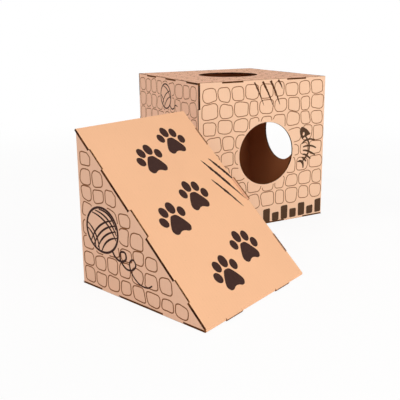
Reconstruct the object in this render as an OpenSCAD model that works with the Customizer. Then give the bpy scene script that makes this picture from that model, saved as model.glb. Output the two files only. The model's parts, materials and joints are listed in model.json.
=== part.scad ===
// Cat condo of corrugated board: a cube den and a wedge ramp that stand side by side.
// Both are folded and slotted together from laser-cut boards, with no other fasteners.
// Millimetres, +Z up. The origin is the middle of the cube's base, and +X runs along its front.

/* [Board] */
// Thickness of the corrugated board
board_t = 4; // [3:0.5:6]
// Play along an edge between one board's finger and the next
finger_play = 0.3; // [0.1:0.1:0.6]

/* [Cube] */
// Outer side of the cube
cube_side = 400; // [320:5:480]
// Diameter of the round ways in
cube_hole_d = 171; // [140:1:200]
// Height of the middle of the way in through the front
front_hole_z = 200; // [150:1:240]
// How far it lies to the right of the middle of the front
front_hole_shift = 6; // [-30:1:30]
// Height of the middle of the ways in through the right and left
side_hole_z = 210; // [150:1:240]
// How far they lie behind the middle of their walls
side_hole_shift = 10; // [-30:1:30]

/* [Ramp] */
// Width of the ramp
ramp_w = 330; // [260:5:400]
// Length of the ramp along the floor
ramp_d = 352; // [280:2:420]
// Height of the slope at the back of the ramp
ramp_h = 336; // [280:2:400]
// Diameter of the way in through the back
ramp_hole_d = 171; // [120:1:180]
// Height of the middle of the way in through the back
ramp_hole_z = 160; // [110:1:165]
// How far the middle tab of each side stands out of the slope
ramp_tab_proud = 5; // [1:0.5:8]

/* [Placing] */
// Gap from the cube's left face to the nearest corner of the ramp
ramp_gap_x = 48; // [20:1:200]
// How far that corner stands in front of the cube's front face
ramp_gap_y = 13; // [5:1:200]
// Turn of the ramp against the cube, in degrees
ramp_turn = 22.3; // [0:0.1:60]

/* [Hidden] */
$fn = 96;

// How far a cut runs past the edge that it opens
overrun = 1;
wall_colour = [0.88, 0.70, 0.56];
slope_colour = [0.93, 0.73, 0.56];

// Every finger-jointed edge has this many equal places, counted counter-clockwise round its face.
// A span is where a finger starts and ends, counted in places.
place_count = 6;
whole_edge = [[0, place_count]];
even_places = [for (i = [0 : 2 : place_count - 1]) [i, i + 1]];
odd_places = [for (i = [1 : 2 : place_count - 1]) [i, i + 1]];
// A pair of tabs lies in the second place from each end, a little shorter than the place
pair_trim_share = 0.05;
tab_pair = [for (i = [1, place_count - 2]) [i + pair_trim_share, i + 1 - pair_trim_share]];
pair_rest = [[0, tab_pair[0][0]], [tab_pair[0][1], tab_pair[1][0]], [tab_pair[1][1], place_count]];

cube_face = [cube_side, cube_side];
cube_place = cube_side / place_count;

// The outer face of the slope runs from the toe at the floor to the top of the back
slope_run = sqrt(ramp_d * ramp_d + ramp_h * ramp_h);
slope_turn = atan2(ramp_h, ramp_d);
// The angle that the board turns through at the toe
toe_turn = 180 - slope_turn;
// Where the tongues of the slope, which are cut square, come to stand on the floor
tongue_start = board_t * ramp_d / ramp_h;
// Where the underside of the slope meets the top of the base, and how high it is over the back board
toe_reach = board_t * (ramp_d + slope_run) / ramp_h;
back_top = ramp_h - board_t * (ramp_h + slope_run) / ramp_d;
// Each side has three tabs through the slope, of which the middle one stands out most
slope_tab_start_shares = [0.137, 0.435, 0.78];
slope_tab_shares = [0.1, 0.132, 0.106];
slope_tab_proud_shares = [0.2, 1, 0.2];
slope_tabs = [0 : len(slope_tab_shares) - 1];

// Shapes that several boards share

// Cuts along an edge that runs in +X, one for each span given to the neighbouring board.
// A cut at either end of the edge takes the corner with it.
module edge_cuts(run, given) {
    pitch = run / place_count;
    for (span = given) {
        start = span[0] == 0 ? -overrun : span[0] * pitch - finger_play / 2;
        end = span[1] == place_count ? run + overrun : span[1] * pitch + finger_play / 2;
        translate([start, -overrun])
            square([end - start, board_t + overrun]);
    }
}

// A rectangular face, less the spans that each of its edges gives away
module cut_face(size, bottom, right, top, left) {
    difference() {
        square(size);
        edge_cuts(size.x, bottom);
        translate([size.x, 0])
            rotate(90)
                edge_cuts(size.y, right);
        translate(size)
            rotate(180)
                edge_cuts(size.x, top);
        translate([0, size.y])
            rotate(270)
                edge_cuts(size.y, left);
    }
}

// Fingers that an edge in +X keeps, reaching from `low` to `high`
module edge_fingers(run, kept, low, high) {
    pitch = run / place_count;
    for (span = kept) {
        start = span[0] == 0 ? 0 : span[0] * pitch + finger_play / 2;
        end = span[1] == place_count ? run : span[1] * pitch - finger_play / 2;
        translate([start, low])
            square([end - start, high - low]);
    }
}

// One board's half of a rounded fold, standing from `low` to `high`.
// The board lies along X with its outer face towards -Y; end is 1 at its right end, -1 at its left.
module fold_half(end, low, high) {
    translate([0, 0, low])
        linear_extrude(high - low)
            intersection() {
                circle(board_t);
                polygon([[0, 0], [0, -board_t], [end * board_t, -board_t]]);
            }
}

// Cube

// Stands a face drawn flat against a side of the cube: turn 0 is the front and 90 the right
module on_cube_wall(turn) {
    rotate(turn)
        translate([-cube_side / 2, board_t - cube_side / 2])
            rotate([90, 0, 0])
                linear_extrude(board_t)
                    children();
}

module cube_fold(turn, end, low) {
    rotate(turn)
        translate([end * (cube_side / 2 - board_t), board_t - cube_side / 2])
            fold_half(end, low, cube_side);
}

module cube_way_in(height, shift) {
    translate([cube_side / 2 + shift, height])
        circle(d = cube_hole_d);
}

// The front, right and back are one board, folded at two corners
module cube_front() {
    color(wall_colour) {
        on_cube_wall(0)
            difference() {
                cut_face(cube_face, odd_places, whole_edge, tab_pair, even_places);
                cube_way_in(front_hole_z, front_hole_shift);
            }
        cube_fold(0, 1, board_t);
    }
}

module cube_right() {
    color(wall_colour) {
        on_cube_wall(90)
            difference() {
                cut_face(cube_face, even_places, whole_edge, tab_pair, whole_edge);
                cube_way_in(side_hole_z, side_hole_shift);
            }
        cube_fold(90, -1, board_t);
        cube_fold(90, 1, 0);
    }
}

module cube_back() {
    color(wall_colour) {
        on_cube_wall(180)
            cut_face(cube_face, odd_places, even_places, tab_pair, whole_edge);
        cube_fold(180, -1, 0);
    }
}

// The left board closes the fold, with fingers on all four edges
module cube_left() {
    color(wall_colour)
        on_cube_wall(270)
            difference() {
                cut_face(cube_face, even_places, even_places, even_places, even_places);
                cube_way_in(side_hole_z, -side_hole_shift);
            }
}

module cube_top() {
    color(wall_colour)
        translate([-cube_side / 2, -cube_side / 2, cube_side - board_t])
            linear_extrude(board_t)
                difference() {
                    union() {
                        cut_face(cube_face, pair_rest, pair_rest, pair_rest, even_places);
                        // The last tab of the left edge runs out to the front corner
                        square([board_t, cube_place - finger_play / 2]);
                    }
                    cube_way_in(cube_side / 2, 0);
                }
}

module cube_bottom() {
    color(wall_colour)
        translate([-cube_side / 2, -cube_side / 2])
            linear_extrude(board_t)
                cut_face(cube_face, even_places, odd_places, even_places, odd_places);
}

// Ramp

// The ramp's own frame has its toe along X, its left corner at the origin and its back towards +Y
module on_ramp() {
    translate([-cube_side / 2 - ramp_gap_x, -cube_side / 2 - ramp_gap_y])
        rotate(ramp_turn)
            translate([-ramp_w, -ramp_d])
                children();
}

// A side stands on the base between the slope and the back: feet go down through the base's
// notches, and tabs out through the slope's
module ramp_side_face() {
    polygon([[toe_reach, board_t], [ramp_d - board_t, board_t], [ramp_d - board_t, back_top]]);
    edge_fingers(ramp_d, tab_pair, 0, 2 * board_t);
    rotate(slope_turn)
        for (i = slope_tabs)
            translate([slope_tab_start_shares[i] * slope_run + finger_play / 2, -2 * board_t])
                square([
                    slope_tab_shares[i] * slope_run - finger_play,
                    2 * board_t + slope_tab_proud_shares[i] * ramp_tab_proud
                ]);
}

// The rounded fold at the toe, with a root that joins it to the base. It is slit where the tongues
// of the slope run straight on to the floor.
module toe_fold() {
    pitch = ramp_w / place_count;
    for (span = pair_rest) {
        start = span[0] == 0 ? 0 : span[0] * pitch + finger_play / 2;
        end = span[1] == place_count ? ramp_w : span[1] * pitch - finger_play / 2;
        translate([start, toe_reach, board_t])
            rotate([90, 0, 90])
                linear_extrude(end - start) {
                    intersection() {
                        circle(board_t);
                        polygon(2 * board_t * [
                            [0, 0],
                            for (turn = [0, toe_turn / 2, toe_turn]) [-sin(turn), -cos(turn)]
                        ]);
                    }
                    polygon(board_t * [[0, 0], [0, -1], [1, -0.5]]);
                }
    }
}

// The two sides and the back are one board, folded at the back corners
module ramp_left_side() {
    color(wall_colour)
        on_ramp() {
            rotate([90, 0, 90])
                linear_extrude(board_t)
                    ramp_side_face();
            translate([board_t, ramp_d - board_t])
                rotate(270)
                    fold_half(-1, board_t, back_top);
        }
}

module ramp_right_side() {
    color(wall_colour)
        on_ramp()
            translate([ramp_w - board_t, 0]) {
                rotate([90, 0, 90])
                    linear_extrude(board_t)
                        ramp_side_face();
                translate([0, ramp_d - board_t])
                    rotate(90)
                        fold_half(1, board_t, back_top);
            }
}

module ramp_back() {
    color(wall_colour)
        on_ramp() {
            translate([0, ramp_d])
                rotate([90, 0, 0])
                    linear_extrude(board_t)
                        difference() {
                            union() {
                                translate([board_t, board_t])
                                    square([ramp_w - 2 * board_t, back_top - board_t]);
                                edge_fingers(ramp_w, tab_pair, 0, 2 * board_t);
                            }
                            translate([ramp_w / 2, ramp_hole_z])
                                circle(d = ramp_hole_d);
                        }
            translate([board_t, ramp_d - board_t])
                rotate(180)
                    fold_half(1, board_t, back_top);
            translate([ramp_w - board_t, ramp_d - board_t])
                rotate(180)
                    fold_half(-1, board_t, back_top);
        }
}

// The base and the slope are one board, folded at the toe
module ramp_base() {
    color(wall_colour)
        on_ramp() {
            linear_extrude(board_t) {
                difference() {
                    cut_face([ramp_w, ramp_d], [], tab_pair, tab_pair, tab_pair);
                    translate([-overrun, -overrun])
                        square([ramp_w + 2 * overrun, toe_reach + finger_play + overrun]);
                }
                edge_fingers(ramp_w, pair_rest, toe_reach, toe_reach + board_t);
            }
            toe_fold();
        }
}

module ramp_slope() {
    color(slope_colour)
        on_ramp()
            rotate([slope_turn, 0, 0])
                translate([0, 0, -board_t])
                    linear_extrude(board_t)
                        difference() {
                            union() {
                                translate([0, toe_reach])
                                    square([ramp_w, slope_run - toe_reach]);
                                edge_fingers(ramp_w, tab_pair, tongue_start, toe_reach + board_t);
                            }
                            for (i = slope_tabs, edge = [0, ramp_w])
                                translate([
                                    edge - board_t,
                                    slope_tab_start_shares[i] * slope_run - finger_play / 2
                                ])
                                    square([2 * board_t, slope_tab_shares[i] * slope_run + finger_play]);
                        }
}

cube_front();
cube_right();
cube_back();
cube_left();
cube_top();
cube_bottom();
ramp_left_side();
ramp_back();
ramp_right_side();
ramp_base();
ramp_slope();
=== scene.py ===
import json
import math
import random

import bmesh
import bpy
from mathutils import Matrix, Vector
from mathutils.geometry import delaunay_2d_cdt


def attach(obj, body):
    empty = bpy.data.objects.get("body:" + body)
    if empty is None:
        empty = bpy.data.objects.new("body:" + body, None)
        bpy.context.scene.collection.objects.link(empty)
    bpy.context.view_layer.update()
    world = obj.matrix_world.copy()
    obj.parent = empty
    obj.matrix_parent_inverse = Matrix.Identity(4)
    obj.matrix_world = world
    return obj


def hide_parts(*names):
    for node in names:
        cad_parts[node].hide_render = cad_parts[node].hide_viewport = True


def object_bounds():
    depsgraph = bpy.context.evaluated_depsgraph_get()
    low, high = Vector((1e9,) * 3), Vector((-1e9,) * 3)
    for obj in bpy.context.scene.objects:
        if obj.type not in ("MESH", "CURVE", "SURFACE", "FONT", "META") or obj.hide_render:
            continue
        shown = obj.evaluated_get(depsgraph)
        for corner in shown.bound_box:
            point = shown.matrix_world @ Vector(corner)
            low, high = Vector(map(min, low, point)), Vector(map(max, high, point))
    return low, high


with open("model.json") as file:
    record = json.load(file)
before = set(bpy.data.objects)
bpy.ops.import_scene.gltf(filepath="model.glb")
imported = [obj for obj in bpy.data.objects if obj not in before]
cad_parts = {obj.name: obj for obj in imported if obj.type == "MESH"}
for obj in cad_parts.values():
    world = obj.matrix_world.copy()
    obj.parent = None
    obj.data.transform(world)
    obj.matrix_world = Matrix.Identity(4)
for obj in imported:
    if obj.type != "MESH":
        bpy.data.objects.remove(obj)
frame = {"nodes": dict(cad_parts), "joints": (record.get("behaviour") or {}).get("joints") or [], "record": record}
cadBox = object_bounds()
scene = bpy.context.scene
scene.view_settings.view_transform = "Standard"
cadNodes = frame["nodes"]
bodies = frame["record"]["behaviour"]["bodies"]
mm = 0.001
xAxis, yAxis, zAxis = Vector((1, 0, 0)), Vector((0, 1, 0)), Vector((0, 0, 1))


def tone(red, green, blue):  # a screen colour, 0 to 255, as the shaders want it
    shares = [c / 255 for c in (red, green, blue)]
    return (*(s / 12.92 if s <= 0.04045 else ((s + 0.055) / 1.055) ** 2.4 for s in shares), 1.0)


def linked(name, data):  # a new object in the scene
    thing = bpy.data.objects.new(name, data)
    scene.collection.objects.link(thing)
    return thing


def settled(name, shape):  # a bmesh as a mesh
    data = bpy.data.meshes.new(name)
    shape.to_mesh(data)
    shape.free()
    return data


def span(spots):  # lowest and highest corner round flat points
    return (Vector((pick(s.x for s in spots), pick(s.y for s in spots))) for pick in (min, max))


class Wire:  # a socket that can stand in sums
    def __init__(self, tree, socket=None):
        self.tree, self.socket = tree, socket

    def add(self, kind, settings, sockets, out=0):
        node = self.tree.nodes.new(kind)
        for key, value in settings.items():
            setattr(node, key, value)
        for key, value in sockets.items():
            if isinstance(value, Wire):
                self.tree.links.new(value.socket, node.inputs[key])
            else:
                node.inputs[key].default_value = value
        if isinstance(out, tuple):
            return [Wire(self.tree, node.outputs[o]) for o in out]
        return Wire(self.tree, node.outputs[out])

    def math(self, operation, a, b=0.0):
        return self.add("ShaderNodeMath", {"operation": operation}, {0: a, 1: b})

    def vector(self, operation, a, b, out=0):
        return self.add("ShaderNodeVectorMath", {"operation": operation}, {0: a, 1: b}, out)

    def __add__(self, other):
        return self.math("ADD", self, other)

    def __radd__(self, other):
        return self.math("ADD", other, self)

    def __sub__(self, other):
        return self.math("SUBTRACT", self, other)

    def __rsub__(self, other):
        return self.math("SUBTRACT", other, self)

    def __mul__(self, other):
        return self.math("MULTIPLY", self, other)

    def __rmul__(self, other):
        return self.math("MULTIPLY", other, self)

    def __truediv__(self, other):
        return self.math("DIVIDE", self, other)

    def __rtruediv__(self, other):
        return self.math("DIVIDE", other, self)

    def __pow__(self, other):
        return self.math("POWER", self, other)

    def __mod__(self, other):
        return self.math("FLOORED_MODULO", self, other)

    def __gt__(self, other):
        return self.math("GREATER_THAN", self, other)

    def __lt__(self, other):
        return self.math("LESS_THAN", self, other)

    def __abs__(self):
        return self.math("ABSOLUTE", self)

    def step(self, low, high):  # 0 below low, 1 above high, smooth between
        return self.add("ShaderNodeMapRange", {"interpolation_type": "SMOOTHSTEP"}, {0: self, 1: low, 2: high})

    def mix(self, colourA, colourB):  # this value as the share of colourB
        return self.add("ShaderNodeMix", {"data_type": "RGBA"}, {0: self, 6: colourA, 7: colourB}, 2)

    def noise(self, place, scale, detail=2.0, rough=0.5):
        sockets = {"Vector": place, "Scale": scale, "Detail": detail, "Roughness": rough}
        return self.add("ShaderNodeTexNoise", {}, sockets, "Fac")

    def scaled(self, vector, share):
        return self.add("ShaderNodeVectorMath", {"operation": "SCALE"}, {0: vector, "Scale": share})

    def upright(self, height):  # a vector along Z
        return self.add("ShaderNodeCombineXYZ", {}, {"Z": height})

    def moved(self, shape, offset):
        return self.add("GeometryNodeSetPosition", {}, {"Geometry": shape, "Offset": offset})

    def both(self, one, other):  # two shapes as one
        pair = self.add("GeometryNodeJoinGeometry", {}, {"Geometry": one})
        self.tree.links.new(other.socket, pair.socket.node.inputs["Geometry"])
        return pair


def finish(name, shine):
    material = bpy.data.materials.new(name)
    material.use_nodes = True
    shader = material.node_tree.nodes["Principled BSDF"]
    shader.inputs["Specular IOR Level"].default_value = shine
    return material, shader, Wire(material.node_tree)


def feed(shader, key, wire):
    wire.tree.links.new(wire.socket, shader.inputs[key])


def roughen(shader, wire, look):  # least, and more with the wire
    least, more = look["rough"]
    feed(shader, "Roughness", least + wire * more)


# Camera, at the photograph's viewing angle

viewLook = {
    "place": (-0.868, -1.512, 0.534),
    "heading": 27.09,  # degrees from +Y towards +X
    "dip": 12.61,
    "roll": -0.59,
    "lens": 53.1,
    "sensor": 36.0,
    "shiftY": -0.10,
}


def setCamera(look):
    heading, dip, roll = (math.radians(look[key]) for key in ("heading", "dip", "roll"))
    forward = Vector((math.sin(heading) * math.cos(dip), math.cos(heading) * math.cos(dip), -math.sin(dip)))
    level = Vector((math.cos(heading), -math.sin(heading), 0))
    upright = level.cross(forward)
    right = level * math.cos(roll) + upright * math.sin(roll)
    top = upright * math.cos(roll) - level * math.sin(roll)
    camera = linked("camera", bpy.data.cameras.new("camera"))
    camera.matrix_world = Matrix.Translation(look["place"]) @ Matrix((right, top, -forward)).transposed().to_4x4()
    camera.data.sensor_width = look["sensor"]
    camera.data.lens = look["lens"]
    camera.data.shift_y = look["shiftY"]
    scene.camera = camera


setCamera(viewLook)
print("camera set")


# Floor, white surround and soft studio light

studioLook = {
    "ambient": 0.43,
    "floorTone": tone(244, 243, 241),
    "floorRough": 0.95,
    "floorShine": 0.1,
    "floorSize": 9.0,
    "floorDrop": 0.4 * mm,
    "shadowShare": 0.10,  # how much of the lit floor the camera sees near the object
    "shadowEnds": (0.9, 2.2),  # metres from the object where the floor fades to white
}
lamps = {
    "key": {"place": (0.6, -2.1, 0.9), "size": 1.6, "watts": 19.0, "colour": (1.0, 0.985, 0.96)},
    "front": {"place": (-1.5, -2.4, 1.4), "size": 1.2, "watts": 16.0, "colour": (1.0, 0.97, 0.95)},
    "fill": {"place": (-1.5, 0.3, 2.3), "size": 0.8, "watts": 15.5, "colour": (1.0, 0.90, 0.92)},
    "back": {"place": (1.5, 2.3, 1.5), "size": 2.0, "watts": 20.0, "colour": (1.0, 0.92, 0.92)},
}
lampAim = Vector((-0.1, -0.15, 0.2))


def shownRay(w):  # 1 for what the camera sees, also in gloss or through glass
    seen = w.add("ShaderNodeLightPath", {}, {}, ("Is Camera Ray", "Is Glossy Ray", "Is Transmission Ray"))
    return w.math("MAXIMUM", seen[0], w.math("MAXIMUM", seen[1], seen[2]))


def setStudio(look):
    world = bpy.data.worlds.new("studio")
    scene.world = world
    world.use_nodes = True
    sky = world.node_tree.nodes["Background"]
    sky.inputs["Color"].default_value = (1, 1, 1, 1)
    shown = shownRay(Wire(world.node_tree))
    feed(sky, "Strength", shown + (1 - shown) * look["ambient"])

    paper, paint, w = finish("floorPaper", look["floorShine"])
    paint.inputs["Base Color"].default_value = look["floorTone"]
    paint.inputs["Roughness"].default_value = look["floorRough"]
    place = w.add("ShaderNodeTexCoord", {}, {}, "Object")
    far = w.vector("LENGTH", place, (0, 0, 0), "Value").step(*look["shadowEnds"])
    white = w.add("ShaderNodeEmission", {}, {"Color": (1, 1, 1, 1), "Strength": 1.0})
    share = shownRay(w) * (1 - (1 - far) * look["shadowShare"])
    mixed = w.add("ShaderNodeMixShader", {}, {0: share, 1: Wire(w.tree, paint.outputs[0]), 2: white})
    feed(w.tree.nodes["Material Output"], "Surface", mixed)

    half = look["floorSize"] / 2
    sheet = bpy.data.meshes.new("floor")
    sheet.from_pydata([(-half, -half, 0), (half, -half, 0), (half, half, 0), (-half, half, 0)], [], [(0, 1, 2, 3)])
    sheet.materials.append(paper)
    floor = linked("floor", sheet)
    floor.location = ((cadBox[0].x + cadBox[1].x) / 2, (cadBox[0].y + cadBox[1].y) / 2, -look["floorDrop"])


def setLamp(name, look):
    lamp = linked(name, bpy.data.lights.new(name, "AREA"))
    lamp.data.shape = "DISK"
    lamp.data.size = look["size"]
    lamp.data.energy = look["watts"]
    lamp.data.color = look["colour"]
    lamp.location = look["place"]
    lamp.rotation_euler = (lampAim - Vector(look["place"])).to_track_quat("-Z", "Y").to_euler()


setStudio(studioLook)
for lampName, lampLook in lamps.items():
    setLamp(lampName, lampLook)
print("studio set")


# Finishes of the board and of the ink

sheetMap = "sheetMap"  # metres across and along the flutes
boardLook = {
    "flutePitch": 7.8 * mm,
    "linerThick": 0.5 * mm,
    "sheetThick": 0.35 * mm,
    "fluteSteps": 8,
    "mapShift": 1.7,  # metres from one board's map to the next
    "linerSharp": math.radians(30),
    "fluteSharp": math.radians(40),
}
kraftLook = {
    "cloud": 0.07,  # slow change of tone over a board
    "cloudScale": 8.0,
    "fibre": 0.10,
    "fibreScale": 1900.0,
    "fibreDraw": (0.16, 1.0, 1.0),  # fibres lie across the flutes
    "fleck": 0.16,
    "fleckScale": 420.0,
    "fleckEdge": (0.05, 0.13),
    "wash": 0.006,  # flutes showing through the liner
    "rough": (0.74, 0.16),
    "shine": 0.12,
    "heights": (0.35, 0.25),  # shares of fibre and wash
    "bump": 0.22,
    "bumpDepth": 0.12 * mm,
}
kraftTones = {
    "wallKraft": tone(236, 196, 165),
    "sideKraft": tone(234, 190, 161),
    # painted light: the left face's kraft is lighter than the walls', as the lamps light that face less
    "leftLitKraft": tone(242, 196, 166),
    # the top's and the slope's kraft: their own tone, made a little darker as painted shade, as the lamps light these
    # upward faces more
    "topShadedKraft": tone(231, 181, 148),
    "slopeShadedKraft": tone(237, 185, 145),
    # painted shade: the cube's inside is darker and redder than the board's own kraft, standing for the shade inside
    # the box
    "insideShadedKraft": tone(160, 88, 46),
    "insideFoldShaded": tone(192, 122, 76),  # painted shade inside the board that folds round the front, right and back, less dark than the other inner faces
}


def kraftFinish(name, colour, look):
    material, shader, w = finish(name, look["shine"])
    place = w.add("ShaderNodeUVMap", {"uv_map": sheetMap}, {}, "UV")
    across = w.add("ShaderNodeSeparateXYZ", {}, {0: place}, "X")
    drawn = w.vector("MULTIPLY", place, look["fibreDraw"])
    fibre = w.noise(drawn, look["fibreScale"], 3.0, 0.6)
    cloud = w.noise(place, look["cloudScale"], 3.0, 0.55)
    specks = {"Vector": drawn, "Scale": look["fleckScale"]}
    fleck = 1 - w.add("ShaderNodeTexVoronoi", {"feature": "F1"}, specks, "Distance").step(*look["fleckEdge"])
    wash = w.math("SINE", across * (2 * math.pi / boardLook["flutePitch"]))
    shade = 1 + (cloud - 0.5) * look["cloud"] + (fibre - 0.5) * look["fibre"]
    shade = shade + wash * look["wash"] - fleck * look["fleck"]
    feed(shader, "Base Color", w.scaled(colour[:3], shade))
    roughen(shader, fibre, look)
    fibreHigh, washHigh = look["heights"]
    relief = {"Strength": look["bump"], "Distance": look["bumpDepth"], "Height": fibre * fibreHigh + wash * washHigh}
    feed(shader, "Normal", w.add("ShaderNodeBump", {}, relief))
    return material


burnLook = {  # cuts at the foot and along the top's front and left are painted paler, as painted light; places in metres
    "foot": (0.005, 0.009),
    "underCube": (-0.215, -0.205),  # the cube's feet painted paler still than the ramp's
    "top": (0.392, 0.395),
    "topEdge": (-0.197, -0.190),
    "farPart": (-0.14, -0.06),  # of the left edge
    "footPaintedLight": 0.26,
    "topPaintedLight": 0.39,
    "patchScale": 34.0,
    "toast": (0.42, 0.72),
    "toastShare": (0.55, 0.4),  # least, and more with the grain
    "grainScale": 900.0,
    "rough": (0.82, 0.14),
    "shine": 0.15,
}


def burntFinish(name, charTone, toastTone, look):
    material, shader, w = finish(name, look["shine"])
    place = w.add("ShaderNodeTexCoord", {}, {}, "Object")
    x, y, z = w.add("ShaderNodeSeparateXYZ", {}, {0: place}, ("X", "Y", "Z"))
    foot = (1 - z.step(*look["foot"])) * (1 + y.step(*look["underCube"]))
    top = z.step(*look["top"])
    topFront = top * (1 - y.step(*look["topEdge"]))
    topLeft = top * (1 - x.step(*look["topEdge"])) * y.step(*look["farPart"])
    # painted light: the cuts at the foot and along the top's front and left edges are made paler
    paintedLightShare = foot * look["footPaintedLight"] + (topFront + topLeft) * look["topPaintedLight"]
    toast = (w.noise(place, look["patchScale"]) + paintedLightShare).step(*look["toast"])
    grain = w.noise(place, look["grainScale"])
    least, more = look["toastShare"]
    feed(shader, "Base Color", (toast * (least + grain * more)).mix(charTone, toastTone))
    roughen(shader, grain, look)
    return material


inkWear = {
    "mottleScale": 160.0,
    "mottle": (0.45, 0.85),
    "mottleShare": 0.45,
    "grainScale": 1400.0,
    "grain": (0.6, 0.8),
    "grainShare": 0.25,
    "rough": (0.68, 0.2),
    "shine": 0.14,
}


def inkFinish(name, inkTone, wornTone, look):
    material, shader, w = finish(name, look["shine"])
    place = w.add("ShaderNodeTexCoord", {}, {}, "Object")
    mottle = w.noise(place, look["mottleScale"], 3.0, 0.6)
    grain = w.noise(place, look["grainScale"])
    worn = mottle.step(*look["mottle"]) * look["mottleShare"] + grain.step(*look["grain"]) * look["grainShare"]
    feed(shader, "Base Color", worn.mix(inkTone, wornTone))
    roughen(shader, grain, look)
    return material


kraft = {name: kraftFinish(name, colour, kraftLook) for name, colour in kraftTones.items()}
burntCut = burntFinish("burntCut", tone(50, 20, 6), tone(150, 92, 44), burnLook)
toastCut = burntFinish("toastCut", tone(176, 122, 78), tone(222, 172, 130), burnLook)
# scorch, and painted shade where the rims are widened along the joints
scorchAndShadeRim = burntFinish("scorchAndShadeRim", tone(66, 33, 14), tone(120, 74, 40), burnLook)
fluteKraft = burntFinish("fluteKraft", tone(66, 34, 16), tone(142, 94, 56), burnLook)
darkInk = inkFinish("darkInk", tone(58, 36, 31), tone(84, 56, 44), inkWear)
barInk = inkFinish("barInk", tone(78, 55, 38), tone(100, 74, 52), inkWear)
brownInk = inkFinish("brownInk", tone(82, 48, 28), tone(122, 80, 52), inkWear)
lineInk = inkFinish("lineInk", tone(130, 84, 52), tone(156, 108, 72), inkWear)
print("finishes made")


# Each board, read from its solid: its place, its outline and the edges that go on round a fold

rampAcross = -Vector(frame["joints"][0]["axis"]).normalized()  # the slide pulls the ramp to its left
rampBack = zAxis.cross(rampAcross)


def slopeUp():  # the direction of the climb, from the slope's own outer face
    widest = max(cadNodes["ramp_slope"].data.polygons, key=lambda face: face.area if face.normal.z > 0 else 0)
    return widest.normal.cross(rampAcross).normalized()


boardSides = {
    "cube_front": ("cube", xAxis, zAxis),
    "cube_right": ("cube", yAxis, zAxis),
    "cube_back": ("cube", -xAxis, zAxis),
    "cube_left": ("cube", -yAxis, zAxis),
    "cube_top": ("cube", xAxis, yAxis),
    "cube_bottom": ("cube", xAxis, -yAxis),
    "ramp_left_side": ("ramp", -rampBack, zAxis),
    "ramp_right_side": ("ramp", rampBack, zAxis),
    "ramp_back": ("ramp", -rampAcross, zAxis),
    "ramp_base": ("ramp", rampAcross, -rampBack),
    "ramp_slope": ("ramp", rampAcross, slopeUp()),
}


readLook = {"merge": 0.01 * mm, "flat": 0.999, "fold": 0.5}  # the last two are heights of a face's normal


def readBoard(name, body, across, up, look):
    outward = across.cross(up)
    spots = [v.co for member in bodies[body] for v in cadNodes[member].data.vertices]
    outermost = max(v.co.dot(outward) for v in cadNodes[name].data.vertices)
    corner = across * min(s.dot(across) for s in spots) + outward * outermost
    standing = abs(up.z) > 0.1
    corner += up * (-corner.z / up.z if standing else min(s.dot(up) for s in spots))
    place = Matrix((across, up, outward)).transposed().to_4x4()
    place.translation = corner

    solid = bmesh.new()
    solid.from_mesh(cadNodes[name].data)
    solid.transform(place.inverted())
    bmesh.ops.remove_doubles(solid, verts=solid.verts, dist=look["merge"])
    solid.normal_update()
    facing = [f for f in solid.faces if f.normal.z > look["flat"]]
    flat = {f for f in facing if abs(f.calc_center_median().z) < look["merge"]}
    corners, tris, border, folds = {}, [], [], []
    for face in flat:
        tris.append([corners.setdefault(v, len(corners)) for v in face.verts])
        for loop in face.loops:
            others = [g for g in loop.edge.link_faces if g is not face]
            if not any(g in flat for g in others):
                edge = (corners[loop.vert], corners[loop.link_loop_next.vert])
                border.append(edge)
                if others and others[0].normal.z > look["fold"]:
                    folds.append(edge)
    points = [v.co.xy.copy() for v in corners]
    inner = max((f for f in solid.faces if f.normal.z < -look["flat"]), key=lambda f: f.calc_area())
    thick = -inner.calc_center_median().z
    solid.free()

    after = dict(border)
    rings = []
    while after:
        start, spot = after.popitem()
        ring = [start]
        while spot != start:
            ring.append(spot)
            spot = after.pop(spot)
        rings.append(ring)
    spans = [max(points[i].x for i in ring) - min(points[i].x for i in ring) for ring in rings]
    rings.insert(0, rings.pop(spans.index(max(spans))))  # the outer ring first, then the ways in
    holes = []
    for ring in rings[1:]:
        middle = sum((points[i] for i in ring), Vector((0, 0))) / len(ring)
        holes.append((middle, max((points[i] - middle).length for i in ring)))
    outline = [rings[0]] + [ring[::-1] for ring in rings[1:]]
    return {
        "name": name, "body": body, "place": place, "thick": thick, "points": points, "tris": tris,
        "border": border, "folds": folds, "rings": rings, "outline": outline, "holes": holes,
    }


boards = {name: readBoard(name, *side, readLook) for name, side in boardSides.items()}
print("boards read:", {name: len(board["points"]) for name, board in boards.items()})


# Liners: the two faces of each board, with their cut edges and rounded folds

foldLook = {"steps": 8, "corner": math.radians(45)}  # at a corner each board has half of the fold
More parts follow.
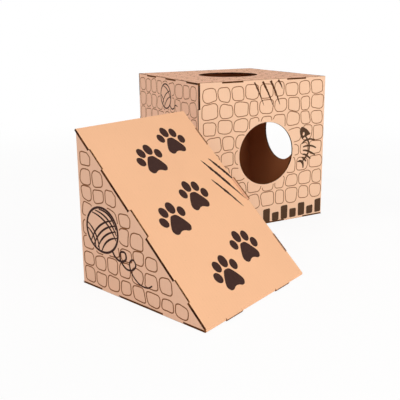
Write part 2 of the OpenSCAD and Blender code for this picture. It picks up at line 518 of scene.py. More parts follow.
# Width in mm of the dark rim along the cut on the outer face, scorch and, where wider, also painted shade along the
# joints: up the sides, in the notches, along level edges and the foot
rimLook = {
    "cube_front": {"left": 0.25, "right": 0.25, "notch": 1.4, "level": 0.3},
    "cube_left": {"left": 0.6, "right": 0.6, "notch": 0.3, "level": 0.9},
    "cube_top": {"left": 0.7, "right": 0.7, "notch": 0.4, "level": 0.3},
    "ramp_slope": {"left": 1.5, "right": 0.05, "notch": 0.35, "level": 0.02, "foot": 1.3},
    "other": {"left": 0.35, "right": 0.35, "notch": 0.35, "level": 0.35},
    "wayIn": 0.5,
    "fold": 0.02,
    "near": 0.2,  # from a side of the outline, to count as on it
}
toastedBoards = ("ramp_left_side", "ramp_right_side")  # their cuts are paler
boardTones = {  # of the outer and the inner face
    "cube_front": ("wallKraft", "insideFoldShaded"),
    "cube_right": ("wallKraft", "insideFoldShaded"),
    "cube_back": ("wallKraft", "insideFoldShaded"),
    "cube_left": ("leftLitKraft", "insideShadedKraft"),
    "cube_top": ("topShadedKraft", "insideShadedKraft"),
    "cube_bottom": ("wallKraft", "insideShadedKraft"),
    "ramp_left_side": ("sideKraft", "sideKraft"),
    "ramp_right_side": ("sideKraft", "sideKraft"),
    "ramp_back": ("sideKraft", "sideKraft"),
    "ramp_base": ("slopeShadedKraft", "slopeShadedKraft"),
    "ramp_slope": ("slopeShadedKraft", "slopeShadedKraft"),
}


def edgeRun(spot, ahead, low, high, near):  # which part of the outline an edge belongs to
    if abs(ahead.x) > abs(ahead.y):
        return "foot" if abs(spot.y - low.y) < near else "level"
    if abs(spot.x - low.x) < near:
        return "left"
    return "right" if abs(spot.x - high.x) < near else "notch"


def scorchAndShadeRings(board, look):  # each ring of the outline, moved into the board by the dark rim's width
    rings = []
    folds = set(board["folds"])
    widths = look.get(board["name"], look["other"])
    for order, ring in enumerate(board["rings"]):
        spots = [board["points"][i] for i in ring]
        low, high = span(spots)
        count = len(ring)
        inward, reach = [], []
        for k in range(count):
            ahead = (spots[(k + 1) % count] - spots[k]).normalized()
            inward.append(Vector((-ahead.y, ahead.x)))
            if (ring[k], ring[(k + 1) % count]) in folds:
                width = look["fold"]
            elif order:
                width = look["wayIn"]
            else:
                run = edgeRun(spots[k], ahead, low, high, look["near"] * mm)
                width = widths.get(run, widths["level"])
            reach.append(width * mm)
        moved = []
        for k in range(count):
            n, m = inward[k - 1], inward[k]
            before, after = reach[k - 1], reach[k]
            turning = n.x * m.y - n.y * m.x
            shift = m * after
            if abs(turning) > 0.02:  # a real corner
                shift = Vector((m.y * before - n.y * after, n.x * after - m.x * before)) / turning
            moved.append(spots[k] + shift)
        rings.append(moved)
    return rings


def cutUp(spots, edges, faces):  # the cells that lines and faces cut each other into
    return delaunay_2d_cdt(spots, edges, faces, 0, 1e-7, True)  # points nearer than that are one


def addOuterLiner(mesh, board, low, look):
    spots, faces = list(board["points"]), list(board["outline"])
    for order, moved in enumerate(scorchAndShadeRings(board, look)):
        ids = list(range(len(spots), len(spots) + len(moved)))
        faces.append(ids if order == 0 else ids[::-1])
        spots += moved
    count = len(board["rings"])
    verts, _, cells, given, _, inside = cutUp(spots, [], faces)
    made = {}
    place = {i: k for k, ids in enumerate(given) for i in ids}

    def corner(i, z):
        if (i, z) not in made:
            made[i, z] = mesh.verts.new((*verts[i], z))
        return made[i, z]

    for cell, ids in zip(cells, inside):
        if 0 not in ids or any(0 < i < count for i in ids):
            continue
        rim = count not in ids or any(i > count for i in ids)
        mesh.faces.new([corner(i, 0) for i in cell]).material_index = 3 if rim else 0
        mesh.faces.new([corner(i, low) for i in reversed(cell)]).material_index = 2
    for a, b in board["border"]:
        a, b = place[a], place[b]
        mesh.faces.new((corner(a, low), corner(b, low), corner(b, 0), corner(a, 0))).material_index = 2


def addInnerLiner(mesh, board, top, low):
    upper = [mesh.verts.new((p.x, p.y, top)) for p in board["points"]]
    lower = [mesh.verts.new((p.x, p.y, low)) for p in board["points"]]
    for tri in board["tris"]:
        mesh.faces.new([upper[i] for i in tri]).material_index = 2
        mesh.faces.new([lower[i] for i in reversed(tri)]).material_index = 1
    for a, b in board["border"]:
        mesh.faces.new((lower[a], lower[b], upper[b], upper[a])).material_index = 2


def addFold(mesh, board, edge, sweep, look):
    a, b = (board["points"][i] for i in edge)
    along = (b - a).normalized()
    away = Vector((along.y, -along.x))
    rims = []
    for end in (a, b):
        rim = [mesh.verts.new((end.x, end.y, -board["thick"]))]
        for k in range(look["steps"] + 1):
            turn = sweep * k / look["steps"]
            spot = end + away * (board["thick"] * math.sin(turn))
            rim.append(mesh.verts.new((spot.x, spot.y, board["thick"] * (math.cos(turn) - 1))))
        rims.append(rim)
    first, last = rims
    made = [mesh.faces.new(first), mesh.faces.new(list(reversed(last)))]
    for k in range(len(first)):
        n = (k + 1) % len(first)
        made.append(mesh.faces.new((first[n], first[k], last[k], last[n])))
    for face in made:
        face.material_index = 2
    for face in made[3:-1]:
        face.material_index = 0
    bmesh.ops.recalc_face_normals(mesh, faces=made)


def makeLiners(board, outerFinish, innerFinish, shift):
    mesh = bmesh.new()
    sweep = toeTurn if board["name"] == "ramp_base" else foldLook["corner"]
    linerThick = boardLook["linerThick"]
    addOuterLiner(mesh, board, -linerThick, rimLook)
    addInnerLiner(mesh, board, linerThick - board["thick"], -board["thick"])
    for edge in board["folds"]:
        addFold(mesh, board, edge, sweep, foldLook)
    layer = mesh.loops.layers.uv.new(sheetMap)
    for face in mesh.faces:
        for loop in face.loops:
            loop[layer].uv = (loop.vert.co.x, loop.vert.co.y + shift)
    mesh.transform(board["place"])
    data = settled(board["name"] + "_liners", mesh)
    cutFinish = toastCut if board["name"] in toastedBoards else burntCut
    for material in (outerFinish, innerFinish, cutFinish, scorchAndShadeRim):
        data.materials.append(material)
    data.shade_smooth()
    data.set_sharp_from_angle(angle=boardLook["linerSharp"])
    return linked(data.name, data)


toeTurn = boards["ramp_base"]["place"].col[2].xyz.angle(boards["ramp_slope"]["place"].col[2].xyz)
for order, (name, board) in enumerate(boards.items()):
    outerTone, innerTone = boardTones[name]
    piece = makeLiners(board, kraft[outerTone], kraft[innerTone], order * boardLook["mapShift"])
    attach(piece, board["body"])
    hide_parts(name)
print("liners made")


# Node trees that shape what repeats

def newTree(name, sizes):
    tree = bpy.data.node_groups.new(name, "GeometryNodeTree")
    tree.is_modifier = True
    tree.interface.new_socket("Geometry", in_out="INPUT", socket_type="NodeSocketGeometry")
    for key, value in sizes.items():
        kind = {int: "NodeSocketInt", float: "NodeSocketFloat", tuple: "NodeSocketVector"}[type(value)]
        tree.interface.new_socket(key, in_out="INPUT", socket_type=kind).default_value = value
    tree.interface.new_socket("Geometry", in_out="OUTPUT", socket_type="NodeSocketGeometry")
    given = tree.nodes.new("NodeGroupInput")
    return tree, Wire(tree), {s.name: Wire(tree, s) for s in given.outputs if s.name}


def endTree(tree, w, shape, material):
    real = w.add("GeometryNodeRealizeInstances", {}, {"Geometry": shape})
    done = w.add("GeometryNodeSetMaterial", {}, {"Geometry": real, "Material": material})
    tree.links.new(done.socket, tree.nodes.new("NodeGroupOutput").inputs["Geometry"])


def shaped(mesh, tree, sizes, place):  # the tree's result on a mesh, as a plain mesh in its place
    holder = linked("holder", mesh)
    modifier = holder.modifiers.new("shape", "NODES")
    modifier.node_group = tree
    for item in tree.interface.items_tree:
        if item.in_out == "INPUT" and item.name in sizes:
            modifier[item.identifier] = sizes[item.name]
    result = bpy.data.meshes.new_from_object(holder.evaluated_get(bpy.context.evaluated_depsgraph_get()))
    bpy.data.objects.remove(holder)
    result.transform(place)
    return result


def joined(name, meshes, body, slot):  # one piece for each body
    whole = bmesh.new()
    for mesh in meshes:
        whole.from_mesh(mesh)
    data = settled(name, whole)
    for material in meshes[0].materials:
        data.materials.append(material)
    piece = linked(name, data)
    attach(piece, body)
    return piece


# Flutes: the waved sheet between the liners, cut to each board's outline

fluteSizes = {
    "Pitch": boardLook["flutePitch"],
    "Rise": 1.0 * mm,
    "Depth": 2.0 * mm,
    "Sheet": boardLook["sheetThick"],
    "Merge": 0.001 * mm,
}


def fluteTree():
    tree, w, given = newTree("flutes", fluteSizes)
    across = w.add("ShaderNodeSeparateXYZ", {}, {0: w.add("GeometryNodeInputPosition", {}, {})}, "X")
    wave = w.math("SINE", across / given["Pitch"] * (2 * math.pi)) * given["Rise"] - given["Depth"] - given["Sheet"] / 2
    waved = w.moved(given["Geometry"], w.upright(wave))
    raising = {"Mesh": waved, "Offset": w.upright(1.0), "Offset Scale": given["Sheet"], "Individual": False}
    upper = w.add("GeometryNodeExtrudeMesh", {"mode": "FACES"}, raising, "Mesh")
    lower = w.add("GeometryNodeFlipFaces", {}, {"Mesh": waved})
    whole = w.both(upper, lower)
    closed = w.add("GeometryNodeMergeByDistance", {}, {"Geometry": whole, "Distance": given["Merge"]})
    endTree(tree, w, closed, fluteKraft)
    return tree


def fluteStrips(board, look):  # the outline, cut into strips that are flat once waved
    spots = list(board["points"])
    edges = list(board["border"])
    low, high = span(spots)
    pitch = look["flutePitch"] / look["fluteSteps"]
    for k in range(math.ceil(low.x / pitch), math.floor(high.x / pitch) + 1):
        edges.append((len(spots), len(spots) + 1))
        spots += [Vector((k * pitch, low.y - pitch)), Vector((k * pitch, high.y + pitch))]
    verts, _, cells, _, _, inside = cutUp(spots, edges, board["outline"])
    kept = [cell for cell, ids in zip(cells, inside) if list(ids) == [0]]
    used = {i: n for n, i in enumerate(sorted({i for cell in kept for i in cell}))}
    mesh = bpy.data.meshes.new(board["name"] + "_strips")
    mesh.from_pydata([(*verts[i], 0) for i in used], [], [[used[i] for i in cell] for cell in kept])
    return mesh


waving = fluteTree()
for body, slot in (("cube", "cube_front"), ("ramp", "ramp_base")):
    cores = []
    for board in boards.values():
        if board["body"] == body:
            cores.append(shaped(fluteStrips(board, boardLook), waving, fluteSizes, board["place"]))
    piece = joined(body + "_flutes", cores, body, slot)
    piece.data.shade_smooth()
    piece.data.set_sharp_from_angle(angle=boardLook["fluteSharp"])
    print(piece.name, len(piece.data.polygons), "faces")


# Ink that is drawn: outlines, cut to the board and given a hair of thickness

inkLook = {"proud": 0.12 * mm, "sunk": 0.05 * mm}


def thickened(name, spots, cells):  # flat cells, counterclockwise, as one thin solid
    mesh = bmesh.new()
    top, low = {}, {}
    for i in {i for cell in cells for i in cell}:
        top[i] = mesh.verts.new((*spots[i], inkLook["proud"]))
        low[i] = mesh.verts.new((*spots[i], -inkLook["sunk"]))
    for cell in cells:
        mesh.faces.new([top[i] for i in cell])
        mesh.faces.new([low[i] for i in reversed(cell)])
    sides = {(a, b) for cell in cells for a, b in zip(cell, cell[1:] + cell[:1])}
    for a, b in sides:
        if (b, a) not in sides:
            mesh.faces.new((low[a], low[b], top[b], top[a]))
    return settled(name, mesh)


def inkPiece(name, board, material, shapes, cutouts=()):
    spots, faces = list(board["points"]), list(board["outline"])
    keepFrom = len(faces)
    for outline in list(shapes) + list(cutouts):
        turning = sum(a.x * b.y - a.y * b.x for a, b in zip(outline, outline[1:] + outline[:1]))
        faces.append(list(range(len(spots), len(spots) + len(outline))))
        spots += outline if turning > 0 else outline[::-1]
    cutFrom = keepFrom + len(shapes)
    verts, _, cells, _, _, inside = cutUp(spots, [], faces)
    kept = []
    for cell, ids in zip(cells, inside):
        onBoard = 0 in ids and not any(0 < i < keepFrom for i in ids)
        drawn = any(i >= keepFrom for i in ids) and not any(i >= cutFrom for i in ids)
        if onBoard and drawn:
            kept.append(list(cell))
    mesh = thickened("ink", verts, kept)
    mesh.transform(board["place"])
    mesh.materials.append(material)
    joined(name, [mesh], board["body"], board["name"])


def smoothLine(points, steps, closed=False):  # a curve through the points
    count = len(points)
    spots = [Vector(p) for p in points]
    pick = (lambda i: spots[i % count]) if closed else (lambda i: spots[min(max(i, 0), count - 1)])
    line = []
    for k in range(count if closed else count - 1):
        p0, p1, p2, p3 = (pick(k + i) for i in (-1, 0, 1, 2))
        bend = 2 * p0 - 5 * p1 + 4 * p2 - p3
        twist = 3 * p1 - p0 - 3 * p2 + p3
        for n in range(steps):
            t = n / steps
            line.append(0.5 * (2 * p1 + (p2 - p0) * t + bend * t ** 2 + twist * t ** 3))
    return line if closed else line + [spots[-1]]


def circle(count):  # points round a circle of radius 1
    return [Vector((math.cos(a), math.sin(a))) for a in (2 * math.pi * k / count for k in range(count))]


def brushStroke(line, width):  # an outline round a line; width is a function of the share along it
    left, right = [], []
    for k, spot in enumerate(line):
        ahead = (line[min(k + 1, len(line) - 1)] - line[max(k - 1, 0)]).normalized()
        side = Vector((-ahead.y, ahead.x)) * width(k / (len(line) - 1)) / 2
        left.append(spot + side)
        right.append(spot - side)
    return left[::-1] + right


def inMetres(outline):
    return [Vector(p) * mm for p in outline]


# Stones: hand-drawn outlines in courses over the walls

stoneSizes = {
    "Line": 2.1 * mm,
    "Proud": 0.08 * mm,  # under the figures
    "Sunk": inkLook["sunk"],
    "Sides": 40,
    "Squareness": 0.56,
    "Sway": 7.0 * mm,
    "Wobble": 1.3 * mm,
    "Seed": 3,
    "Low": (0.0, 0.0, 0.0),  # corners of the field
    "High": (1.0, 1.0, 0.0),
    "Edge": (0.0, 0.0, 0.0),  # a slanting edge of the field, and the direction out over it
    "Edge normal": (0.0, 0.0, 0.0),
    "Hole": (0.0, 0.0, 0.0),
    "Hole radius": 0.0,
    "Figure": (0.0, 0.0, 0.0),
    "Figure radius": 0.0,
}
stoneTurn = 0.07  # most that a stone is turned, in radians
stoneNoise = {"Sway": 21.0, "Wobble": 75.0}  # scale of each
seedDepth = 0.37


def stoneTree():
    tree, w, given = newTree("stoneOutlines", stoneSizes)
    ring = w.add("GeometryNodeMeshCircle", {"fill_type": "NONE"}, {"Vertices": given["Sides"], "Radius": 1.0})
    place = w.add("GeometryNodeInputPosition", {}, {})
    x, y = w.add("ShaderNodeSeparateXYZ", {}, {0: place}, ("X", "Y"))
    squared = [w.math("SIGN", s) * abs(s) ** given["Squareness"] for s in (x, y)]
    corner = w.add("ShaderNodeCombineXYZ", {}, {"X": squared[0], "Y": squared[1]})
    rounded = w.add("GeometryNodeSetPosition", {}, {"Geometry": ring, "Position": corner})
    size = w.add("GeometryNodeInputNamedAttribute", {"data_type": "FLOAT_VECTOR"}, {"Name": "stoneSize"})
    turning = {2: -stoneTurn, 3: stoneTurn, "Seed": given["Seed"]}
    spin = w.upright(w.add("FunctionNodeRandomValue", {"data_type": "FLOAT"}, turning, 1))
    laying = {"Points": given["Geometry"], "Instance": rounded, "Rotation": spin, "Scale": size}
    laid = w.add("GeometryNodeInstanceOnPoints", {}, laying)
    loose = w.add("GeometryNodeRealizeInstances", {}, {"Geometry": laid})
    deep = w.vector("ADD", place, w.upright(given["Seed"] * seedDepth))
    for sway, scale in stoneNoise.items():
        shift = w.add("ShaderNodeTexNoise", {}, {"Vector": deep, "Scale": scale, "Detail": 1.0}, "Color")
        even = w.vector("SUBTRACT", shift, (0.5, 0.5, 0.5))
        flat = w.vector("MULTIPLY", even, (2.0, 2.0, 0.0))
        loose = w.moved(loose, w.scaled(flat, given[sway]))
    kept = w.vector("MINIMUM", w.vector("MAXIMUM", place, given["Low"]), given["High"])
    loose = w.add("GeometryNodeSetPosition", {}, {"Geometry": loose, "Position": kept})
    past = w.vector("DOT_PRODUCT", w.vector("SUBTRACT", place, given["Edge"]), given["Edge normal"], "Value")
    back = w.scaled(given["Edge normal"], -1 * w.math("MAXIMUM", past, 0.0))
    loose = w.moved(loose, back)
    for middle in ("Hole", "Figure"):
        gap = w.vector("DISTANCE", place, given[middle], "Value") < given[middle + " radius"]
        loose = w.add("GeometryNodeDeleteGeometry", {"domain": "POINT"}, {"Geometry": loose, "Selection": gap})
    line = w.add("GeometryNodeMeshToCurve", {}, {"Mesh": loose})
    level = w.add("GeometryNodeSetCurveNormal", {"mode": "Z_UP"}, {"Curve": line})
    thick = given["Proud"] + given["Sunk"]
    nib = w.add("GeometryNodeCurvePrimitiveQuadrilateral", {}, {"Width": given["Line"], "Height": thick})
    drawn = w.add("GeometryNodeCurveToMesh", {}, {"Curve": level, "Profile Curve": nib, "Fill Caps": True})
    raised = w.moved(drawn, w.upright((given["Proud"] - given["Sunk"]) / 2))
    endTree(tree, w, raised, lineInk)
    return tree


# Field of stones on each wall: left, low, right and high edge in mm, columns and rows, rise to the right.
# The front's courses have seams of their own, from the top course down.
stoneFields = {
    "cube_front": {"field": (10, 49, 397, 392), "count": (9, 8), "rise": 0.022},
    "cube_right": {"field": (8, 8, 392, 392), "count": (9, 9)},
    "cube_back": {"field": (8, 8, 392, 392), "count": (9, 9)},
    "cube_left": {"field": (8, 8, 392, 392), "count": (9, 9)},
    "cube_top": {"field": (8, 8, 392, 392), "count": (9, 9), "line": 1.3},
    "ramp_left_side": {"field": (10, 7, 306, 294), "count": (8, 8), "slant": 1, "line": 2.5},
    "ramp_right_side": {"field": (46, 7, 342, 294), "count": (8, 8), "slant": -1, "line": 2.5},
    "ramp_back": {"field": (8, 8, 322, 314), "count": (8, 8)},
}
frontSeams = [
    (10, 55.5, 95.5, 138, 181, 226.5, 264.5, 306, 348, 392),
    (8, 58.5, 102, 149, 182.5, 228.5, 272, 316.5, 349, 397),
    (10, 51.5, 101.5, 148, 185, 223.5, 270, 315.5, 351, 397),
    (18, 67, 107, 148, 186, 228, 272, 320, 358.5, 397),
    (10, 61, 106, 150, 187, 229, 268, 316, 348.5, 397),
    (14, 52, 92, 143, 185, 225, 262, 304, 348, 397),
    (12, 60, 106, 144, 191, 231, 267, 312, 361, 397),
    (12, 56, 98, 142, 187.5, 234.5, 268, 312, 354.5, 397),
]
courseLook = {  # in mm
    "gap": 5.6,  # between neighbours
    "slopeGap": 6.0,
    "ringGap": 4.5,  # to a way in
    "figureGap": 3.0,
    "spread": 0.16,  # share by which a stone's width varies
    "sideSpread": 0.06,  # the same on the ramp's sides
    "rowShift": (-1.5, 1.5),
    "heightShift": (-2.5, 2),
    "seed": 11,
}


def courseSeams(look, dice):  # where one stone ends and the next begins
    left, _, right, _ = look["field"]
    columns, rows = look["count"]
    spread = courseLook["sideSpread" if "slant" in look else "spread"]
    for _ in range(rows):
        shares = [1 + dice.uniform(-spread, spread) for _ in range(columns)]
        yield [left + (right - left) * sum(shares[:k]) / sum(shares) for k in range(columns + 1)]


def stonePoints(name, look, dice):
    left, low, right, high = look["field"]
    columns, rows = look["count"]
    seams = frontSeams[::-1] if name == "cube_front" else courseSeams(look, dice)
    spots, sizes = [], []
    tall = (high - low) / rows
    for row, ends in enumerate(seams):
        for column, (start, end) in enumerate(zip(ends, ends[1:])):
            fromBack = column if look.get("slant", 1) > 0 else columns - 1 - column
            if "slant" in look and row + fromBack >= rows:
                continue
            x = (start + end) / 2
            rise = look.get("rise", 0) * (x - (left + right) / 2)
            y = low + tall * (row + 0.5) + dice.uniform(*courseLook["rowShift"]) + rise
            spots.append((x * mm, y * mm, 0))
            wide = end - start - courseLook["gap"]
            height = tall - courseLook["gap"] + dice.uniform(*courseLook["heightShift"])
            sizes += [wide / 2 * mm, height / 2 * mm, 1]
    mesh = bpy.data.meshes.new("stones")
    mesh.from_pydata(spots, [], [])
    mesh.attributes.new("stoneSize", "FLOAT_VECTOR", "POINT").data.foreach_set("vector", sizes)
    return mesh


# Balls of wool: a generic figure of windings and a loose end
woolBalls = {
    "ramp_left_side": {
        "middle": (73, 134), "radius": 50, "line": 5.0,
        # lean in degrees, and places from -1 to 1
        "windings": [(38, (-0.62, -0.38, -0.14, 0.10)), (-34, (0.34, 0.54, 0.74)), (-58, (-0.78, -0.60))],
        "tail": [
            (101, 97), (112, 84), (128, 80), (142, 88), (140, 101), (127, 99), (126, 82), (142, 68),
            (160, 70), (170, 82), (162, 92), (152, 82), (158, 62), (178, 46), (200, 44), (214, 52),
        ],
    },
    "cube_left": {
        "middle": (200, 349), "radius": 36, "line": 4.0,
        "windings": [(38, (-0.45, 0.0)), (-34, (0.5,)), (-58, (-0.7,))],
        "tail": [(226, 327), (238, 318), (252, 320), (262, 330), (276, 328)],
    },
}

slope = boards["ramp_slope"]
stoning = stoneTree()
for body, slot in (("cube", "cube_front"), ("ramp", "ramp_left_side")):
    courses = []
    for name, look in stoneFields.items():
        board = boards[name]
        if board["body"] != body:
            continue
        left, low, right, high = (edge * mm for edge in look["field"])
        sizes = dict(stoneSizes, Low=(left, low, -1.0), High=(right, high, 1.0))
        sizes["Seed"] = courseLook["seed"] + len(courses)
        if "line" in look:
            sizes["Line"] = look["line"] * mm
        if "slant" in look:
            slant = board["place"].inverted() @ slope["place"]  # the slope as this side sees it
            upward = slant.col[2].xyz
            edge = slant.translation - upward * (slope["thick"] + courseLook["slopeGap"] * mm)
            sizes.update({"Edge": tuple(edge), "Edge normal": tuple(upward)})
        if board["holes"]:
            middle, radius = board["holes"][0]
            sizes.update({"Hole": (*middle, 0.0), "Hole radius": radius + courseLook["ringGap"] * mm})
        if name in woolBalls:
            x, y = woolBalls[name]["middle"]
            radius = woolBalls[name]["radius"] + courseLook["figureGap"]
            sizes.update({"Figure": (x * mm, y * mm, 0.0), "Figure radius": radius * mm})
        dice = random.Random(sizes["Seed"])
        courses.append(shaped(stonePoints(name, look, dice), stoning, sizes, board["place"]))
    piece = joined(body + "_stone_print", courses, body, slot)
    print(piece.name, len(piece.data.polygons), "faces")


# Paw prints: one print, laid in a walk up the slope

pawLook = {  # a right print, in mm from the middle of its heel
    "heel": [
        (0, 21.7), (8, 20.3), (14.5, 13), (21, 3), (26, -7),
        (26.3, -14), (21.5, -20.5), (14, -21.5), (6.5, -18), (0, -16.8),
    ],
    "heelSteps": 6,
    "toes": [  # place, radii and lean
        (-26.4, 24.3, 10.0, 12.2, 8), (-5, 38.8, 11.2, 14.4, 0),
        (19, 33.4, 10.4, 13.0, -12), (32.7, 12.5, 10.2, 12.3, -26),
    ],
    "toeSteps": 32,
}
pawSizes = {
    "Pairs": 3,
    "First": (0.2225, 0.1050, 0.0),  # the lowest right print
    "Stride": 146.2 * mm,
    "Drift": 2.4 * mm,
    "Lag": 35.3 * mm,
    "Apart": 88.5 * mm,
    "Sway": 41.5 * mm,
}


def pawTree():
    tree, w, given = newTree("pawWalk", pawSizes)
    step = w.add("GeometryNodeInputIndex", {}, {})
    pair = w.math("FLOOR", step / 2)
    side = step % 2  # 0 right, 1 left
    first = w.add("ShaderNodeSeparateXYZ", {}, {0: given["First"]}, ("X", "Y"))
    x = first[0] - side * given["Apart"] - (pair % 2) * given["Sway"] + pair * given["Drift"]
    y = first[1] + pair * given["Stride"] - side * given["Lag"]
    spot = w.add("ShaderNodeCombineXYZ", {}, {"X": x, "Y": y})
    walk = w.add("GeometryNodePoints", {}, {"Count": given["Pairs"] * 2, "Position": spot})
    turned = w.add("GeometryNodeTransform", {}, {"Geometry": given["Geometry"], "Scale": (-1.0, 1.0, 1.0)})
    mirrored = w.add("GeometryNodeFlipFaces", {}, {"Mesh": turned})
    feet = []
    for shape, chosen in ((given["Geometry"], side < 0.5), (mirrored, side > 0.5)):
        sockets = {"Points": walk, "Instance": shape, "Selection": chosen}
        feet.append(w.add("GeometryNodeInstanceOnPoints", {}, sockets))
    endTree(tree, w, w.both(*feet), darkInk)
    return tree


def pawPrint(look):
    half = [Vector(p) for p in look["heel"]]
    heel = half + [Vector((-p.x, p.y)) for p in half[-2:0:-1]]
    pads = [smoothLine(heel, look["heelSteps"], True)[::-1]]
    for x, y, wide, tall, lean in look["toes"]:
        turn = Matrix.Rotation(math.radians(lean), 2)
        rim = [Vector((wide * c.x, tall * c.y)) for c in circle(look["toeSteps"])]
        pads.append([Vector((x, y)) + turn @ spot for spot in rim])
    spots, cells = [], []
    for pad in pads:
        cells.append(list(range(len(spots), len(spots) + len(pad))))
        spots += inMetres(pad)
    return thickened("pawPrint", spots, cells)


walk = shaped(pawPrint(pawLook), pawTree(), pawSizes, slope["place"])
joined("ramp_paw_prints", [walk], "ramp", "ramp_slope")
print("paw prints laid")


# Claw scratches: long strokes that taper

scratchLook = {  # in mm on the board
    "strokes": {  # start, end and width
        "ramp_slope": [((271, 343), (324, 216), 7.6), ((298, 343), (337, 252), 7.6), ((262, 289), (301, 200), 6.4)],
        "cube_front": [
            ((165, 394), (196, 330), 4.8), ((191, 395), (227, 325), 6.2),
            ((216, 396), (247, 330), 6.4), ((240, 397), (254, 372), 5.4),
        ],
    },
    "ink": {"ramp_slope": darkInk, "cube_front": brownInk},
    "steps": 24,
    "bow": 1.6,
    "shake": 0.35,
    "rough": 0.22,  # share by which the width varies
    "least": 0.25,
    "seed": 5,
}


def fadeOut(t):  # widest at the start
    return (1 - t) ** 0.45


def swellUp(t):  # pointed at both ends
    return math.sin(math.pi * t ** 0.8) ** 0.7


def scratchShape(start, end, width, swell, look, dice):
    start, end = Vector(start), Vector(end)
    side = Vector((start.y - end.y, end.x - start.x)).normalized()
    steps, shake, rough = look["steps"], look["shake"], look["rough"]
    line = []
    for k in range(steps + 1):
        t = k / steps
        aside = math.sin(t * math.pi) * look["bow"] + dice.uniform(-shake, shake)
        line.append(start.lerp(end, t) + side * aside)
    ragged = [1 + dice.uniform(-rough, rough) for _ in line]
    return inMetres(brushStroke(line, lambda t: max(look["least"], width * swell(t) * ragged[round(t * steps)])))


for name, strokes in scratchLook["strokes"].items():
    dice = random.Random(scratchLook["seed"])
    swell = fadeOut if name == "cube_front" else swellUp  # the front's run in from its top edge
    shapes = [scratchShape(*stroke, swell, scratchLook, dice) for stroke in strokes]
    inkPiece(boards[name]["body"] + "_scratches", boards[name], scratchLook["ink"][name], shapes)
print("scratches drawn")


# Fish bones on the front wall

fishLook = {
    "head": [
        (321.5, 263), (317, 257.5), (315.5, 251), (317, 242), (320, 234.5), (325, 228), (330.5, 232.5),
        (337, 235), (345, 238), (352, 240.5), (348.5, 246), (342, 253), (334, 259), (327, 262),
    ],
    "eye": (328.5, 243.0, 3.7, 5.0),  # place and radii
    "eyeSteps": 20,
    "spine": [
        (335.5, 236), (340.5, 228.5), (346.5, 217.5), (349, 206),
        (348.5, 195.5), (344.5, 184.5), (336, 173.5), (328, 166.5),
    ],
    "ribs": [
        [(324.5, 215.5), (331.5, 221.5), (342, 225), (354.5, 226), (368, 221.5)],
        [(328, 205.5), (336.5, 207.5), (349, 207.5), (361.5, 205), (373.5, 199)],
        [(327.5, 196), (337, 195), (349.5, 190.5), (361, 184.5), (370.5, 179)],
        [(327.5, 184.5), (334.5, 183.5), (344, 178), (355, 169.5)],
        [(324.5, 176.5), (330, 173), (335.5, 168.5), (339, 163)],
    ],
    "tail": [
        (308.5, 164.5), (313, 168), (320, 169.5), (327, 167), (331, 162.5), (332, 155),
        (331.5, 146), (328, 146), (327, 153), (323.5, 159.5), (318, 163.5),
    ],
    "line": 5.2,
    "ribLine": (0.7, 0.35),  # shares of the line: at the ends, and more in the middle
    "outlineSteps": 4,
    "boneSteps": 6,
}


def fishShapes(look):
    shapes = [smoothLine(look[part], look["outlineSteps"], True) for part in ("head", "tail")]
    shapes.append(brushStroke(smoothLine(look["spine"], look["boneSteps"]), lambda t: look["line"]))
    least, more = look["ribLine"]
    for rib in look["ribs"]:
        bone = smoothLine(rib, look["boneSteps"])
        shapes.append(brushStroke(bone, lambda t: look["line"] * (least + more * math.sin(math.pi * t))))
    x, y, wide, tall = look["eye"]
    eye = [(x + wide * c.x, y + tall * c.y) for c in circle(look["eyeSteps"])]
    return [inMetres(s) for s in shapes], [inMetres(eye)]


front = boards["cube_front"]
inkPiece("cube_fish_bones", front, barInk, *fishShapes(fishLook))


# Bars along the foot of the front wall, tall and short in turn

barLook = {
    "right": 397.0,
    "pitch": 29.5,
    "width": 22.5,
    "foot": 7.5,
    "tall": 47.0,
    "short": 32.5,
    "rise": 0.028,  # up for each mm to the right
    "level": 190.0,  # from the right edge, no rise beyond
    "slant": 2.2,
    "slantShare": (-0.3, 1.0),
    "heightShift": (-1.2, 1.2),
    "corner": 3.0,
    "count": 13,
    "seed": 8,
}


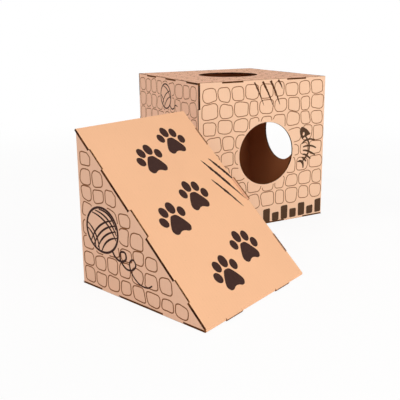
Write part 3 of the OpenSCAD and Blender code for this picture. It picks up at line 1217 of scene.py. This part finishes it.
def barShapes(look):
    dice = random.Random(look["seed"])
    shapes = []
    for k in range(look["count"]):
        right = look["right"] - k * look["pitch"]
        left = right - look["width"]
        sink = look["rise"] * min(k * look["pitch"], look["level"])
        high = look["tall" if k % 2 == 0 else "short"] - sink + dice.uniform(*look["heightShift"])
        lean = dice.uniform(*look["slantShare"]) * look["slant"]
        c, foot = look["corner"], look["foot"] - sink
        shapes.append(inMetres([
            (left + 0.5, foot + c), (left + c, foot), (right - c, foot + 0.6), (right, foot + c),
            (right + 0.3, high + lean - c), (right - c * 0.7, high + lean), (left + c, high), (left, high - c),
        ]))
    return shapes


inkPiece("cube_bars", front, barInk, barShapes(barLook))


# Lines of the wool, on the balls given above

woolLook = {
    "rimSteps": 72,
    "reach": 0.9,  # of a winding, as a share of the ball's width there
    "bow": 0.22,
    "bowSteps": 18,
    "inside": 0.93,
    "bowLine": (0.5, 0.4),  # shares of the line: at the ends, and more in the middle
    "threadSteps": 8,
    "threadTaper": 0.4,
    "strokeStep": 6,  # the thread is short strokes, so that no outline crosses itself
    "strokeRun": 8,
}


def woolShapes(ball, look):
    middle, radius, line = Vector(ball["middle"]), ball["radius"], ball["line"]
    rim = [middle + c * (radius - line / 2) for c in circle(look["rimSteps"])]
    shapes = [brushStroke(rim + rim[:1], lambda t: line)]
    least, more = look["bowLine"]
    for lean, offsets in ball["windings"]:
        turn = Matrix.Rotation(math.radians(lean), 2)
        for offset in offsets:
            reach = math.sqrt(1 - offset ** 2) * look["reach"]
            bow = []
            for k in range(look["bowSteps"] + 1):
                t = (k / look["bowSteps"] * 2 - 1) * reach
                spot = turn @ Vector((t, offset + look["bow"] * (0.5 - (t / reach) ** 2)))
                if spot.length < look["inside"]:
                    bow.append(middle + spot * radius)
            shapes.append(brushStroke(bow, lambda t: line * (least + more * math.sin(math.pi * t))))
    thread = smoothLine(ball["tail"], look["threadSteps"])
    for k in range(0, len(thread) - 1, look["strokeStep"]):
        taper = 1 - look["threadTaper"] * k / len(thread)
        shapes.append(brushStroke(thread[k:k + look["strokeRun"]], lambda t: line * taper))
    return [inMetres(s) for s in shapes]


for name, ball in woolBalls.items():
    inkPiece(boards[name]["body"] + "_wool_ball", boards[name], darkInk, woolShapes(ball, woolLook))
print("fish bones, bars and wool drawn")
